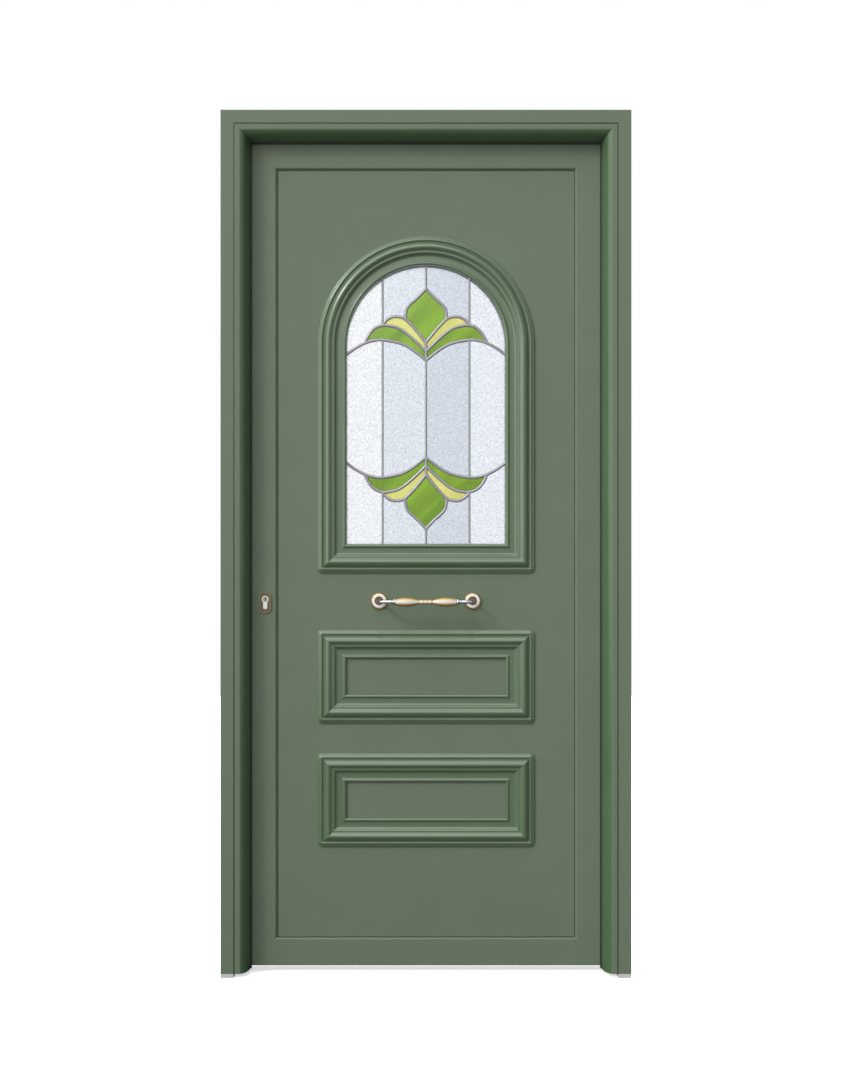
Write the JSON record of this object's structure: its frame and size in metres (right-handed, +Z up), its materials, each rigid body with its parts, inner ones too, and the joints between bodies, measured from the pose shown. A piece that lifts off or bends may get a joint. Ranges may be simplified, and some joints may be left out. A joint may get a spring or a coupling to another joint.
{
  "type": "panelled front door with frame",
  "caption": "Inward-opening panelled front door in a three-sided frame, with an arched leaded window, applied panel mouldings, a pull handle outside and a lever inside.",
  "frame": {"origin": "bottom centre of the closed door and its frame, at floor level and in the middle of the leaf's thickness", "axes": "+X to the right seen from outside (the hinge side), +Y into the building, +Z up"},
  "size_m": [1, 0.19, 2.113],
  "materials": {
    "coat": "satin green-grey powder coat",
    "mould_coat": "satin green-grey lacquer on moulded plastic",
    "gasket": "matte black EPDM",
    "foot": "pale grey moulded plastic",
    "cleat": "mill finish",
    "foam": "cut rigid foam",
    "steel": "zinc plated",
    "chrome": "polished",
    "ring": "glazed white",
    "brass": "polished and lacquered",
    "grip": "glossy cream",
    "lead": "dull lead",
    "glass_clear": "fine textured",
    "glass_green": "through-coloured, smooth",
    "glass_yellow": "through-coloured, smooth",
    "pane": "clear float",
    "spacer": "mill finish",
    "tape": "matte foam tape",
    "bush": "black acetal",
    "satin": "satin nickel",
    "case": "zinc plated sheet",
    "nickel": "satin nickel plated brass"
  },
  "bodies": {
    "frame": {"frame_jamb_lock": "coat", "frame_jamb_hinge": "coat", "frame_head": "coat", "frame_cleats": "cleat", "foot_plugs": "foot", "stop_gasket": "gasket", "fixing_caps": "coat", "strike_plate": "steel", "strike_screws": "steel", "frame_wings": "coat", "frame_wing_screws": "steel", "hinge_pins": "steel", "hinge_caps": "coat"},
    "leaf": {"leaf_wings": "coat", "leaf_wing_screws": "steel", "hinge_bushes": "bush", "leaf_stile_lock": "coat", "leaf_stile_hinge": "coat", "leaf_rails": "coat", "leaf_cleats": "cleat", "panel_skin_outer": "coat", "panel_core": "foam", "panel_skin_inner": "coat", "panel_gaskets": "gasket", "panel_beads": "coat", "window_frame_outer": "mould_coat", "window_frame_inner": "mould_coat", "window_screws": "steel", "window_screw_caps": "mould_coat", "window_tapes": "tape", "unit_spacer": "spacer", "inner_pane": "pane", "lead_came": "lead", "glass_clear": "glass_clear", "glass_green": "glass_green", "glass_yellow": "glass_yellow", "field_mouldings": "mould_coat", "pull_rosettes": "ring", "pull_rims": "brass", "pull_stems": "chrome", "pull_collars": "chrome", "pull_grip": "grip", "pull_sleeves": "steel", "pull_bolts": "steel", "pull_bolt_caps": "mould_coat", "lock_case": "case", "lock_faceplate": "satin", "lock_screws": "steel", "cylinder_body": "nickel", "inner_plate": "satin", "plate_bush": "bush", "escutcheon": "coat", "escutcheon_rim": "brass"},
    "lever": {"follower": "nickel", "spindle": "steel", "inner_lever": "satin"},
    "latch": {"latch_bolt": "satin"},
    "bolt": {"dead_bolt": "satin"},
    "plug": {"cylinder_plug": "brass"},
    "turn": {"cylinder_turn": "satin"}
  },
  "joints": [
    {"name": "leaf_swing", "type": "hinge", "parent": "frame", "child": "leaf", "pos_m": [0.4395, 0.04, 1], "axis": [0, 0, -1], "range_deg": [0, 100]},
    {"name": "lever_turn", "type": "hinge", "parent": "leaf", "child": "lever", "pos_m": [-0.3965, 0, 1.005], "axis": [0, 1, 0], "range_deg": [0, 45], "stiffness_Nm_per_rad": 1.5, "springref_deg": -28.65},
    {"name": "latch_slide", "type": "slide", "parent": "leaf", "child": "latch", "axis": [1, 0, 0], "range_m": [0, 0.013]},
    {"name": "plug_turn", "type": "hinge", "parent": "leaf", "child": "plug", "pos_m": [-0.3965, 0, 0.92], "axis": [0, 1, 0], "range_deg": [0, 360]},
    {"name": "turn_spin", "type": "hinge", "parent": "leaf", "child": "turn", "pos_m": [-0.3965, 0, 0.92], "axis": [0, 1, 0], "range_deg": [0, 360]},
    {"name": "bolt_slide", "type": "slide", "parent": "leaf", "child": "bolt", "axis": [-1, 0, 0], "range_m": [0, 0.02]}
  ],
  "couplings": [
    {"joint": "latch_slide", "follows": "lever_turn", "m_per_rad": 0.01655},
    {"joint": "bolt_slide", "follows": "turn_spin", "m_per_rad": 0.003183}
  ]
}
